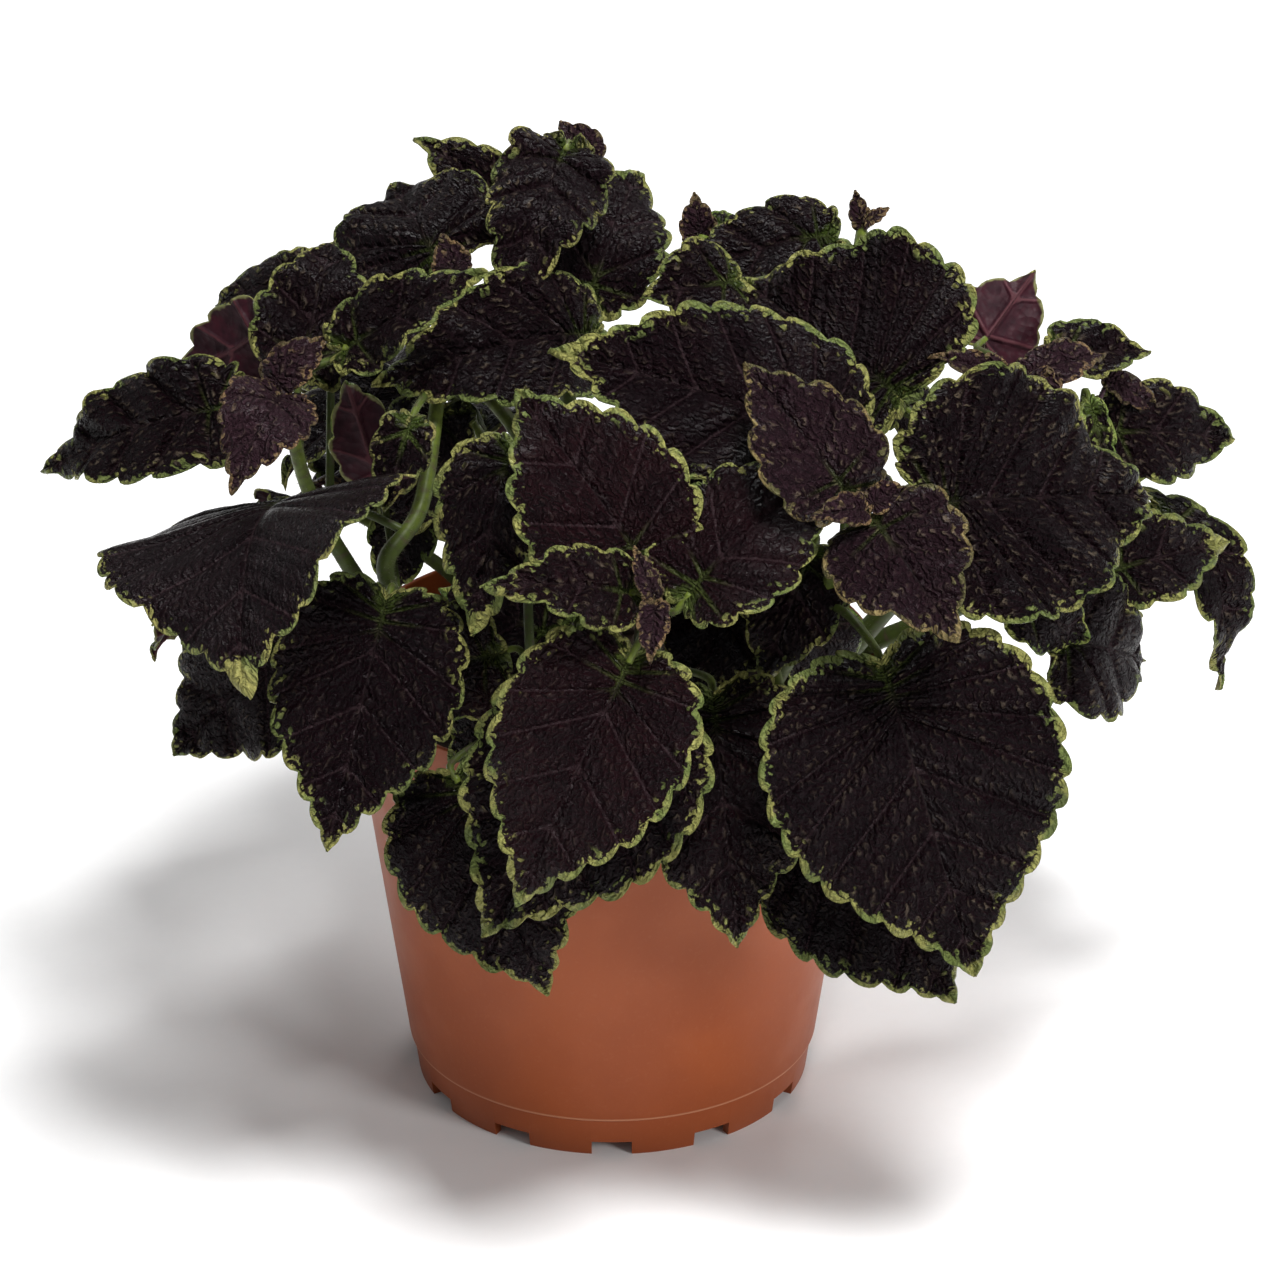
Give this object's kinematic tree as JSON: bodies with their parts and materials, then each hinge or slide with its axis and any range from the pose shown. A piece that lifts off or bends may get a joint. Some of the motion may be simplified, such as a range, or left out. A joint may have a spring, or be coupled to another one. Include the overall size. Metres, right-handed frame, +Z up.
{
  "type": "potted coleus",
  "caption": "Bushy foliage plant with broad dark leaves that have scalloped pale green edges, standing in a small tapered nursery pot filled with soil.",
  "frame": {"origin": "on the ground, under the middle of the whole plant's outline seen from above", "axes": "+Z up; the front of the plant, the side of the picture, faces -Y; +X is to the right of that view"},
  "size_m": [0.2934, 0.26, 0.2402],
  "materials": {
    "pot": "smooth satin terracotta-coloured nursery plastic with a faint mottling",
    "soil": "dark moist peat and bark, crumbly",
    "foliage": "velvety near-black purple leaves with lime-green scalloped edges and pale green stalks"
  },
  "bodies": {
    "root": {"pot": "pot", "soil": "soil", "stem_front": "foliage", "stem_front_low": "foliage", "stem_right": "foliage", "stem_right_low": "foliage", "stem_left": "foliage", "stem_upper_left": "foliage", "stem_top": "foliage", "stem_top_right": "foliage", "stem_upper_right": "foliage", "stem_far_right": "foliage", "stem_right_edge": "foliage", "stem_back_low_1": "foliage", "stem_back_low_2": "foliage", "stem_back_low_3": "foliage", "stem_back_low_4": "foliage", "stem_back_high_1": "foliage", "stem_back_high_2": "foliage"}
  },
  "joints": []
}
